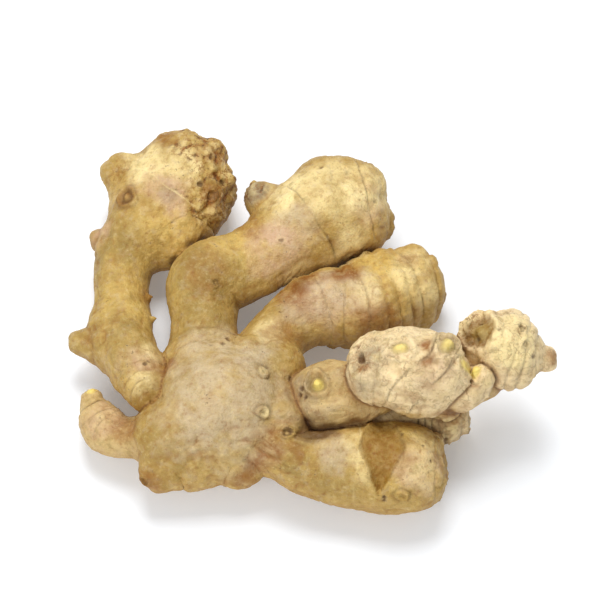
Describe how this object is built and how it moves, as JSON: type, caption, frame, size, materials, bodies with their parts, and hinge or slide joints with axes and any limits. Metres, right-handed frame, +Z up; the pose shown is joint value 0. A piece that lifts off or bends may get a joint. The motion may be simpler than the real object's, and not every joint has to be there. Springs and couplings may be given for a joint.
{
  "type": "ginger root",
  "caption": "Fresh ginger root: a flat palm with long knobbly fingers, ring scars, pale buds and a raised cluster of younger knobs.",
  "frame": {"origin": "centre of the footprint's bounding box, on the surface that the root lies on", "axes": "+Z up, out of the surface; +X along the longest extent, from the stubby finger towards the raised cluster; +Y towards the ends of the long fingers"},
  "size_m": [0.1922, 0.1681, 0.0603],
  "materials": {
    "skin": "thin matt buff skin with a faint waxy sheen"
  },
  "bodies": {
    "root": {"rhizome": "skin"}
  },
  "joints": []
}
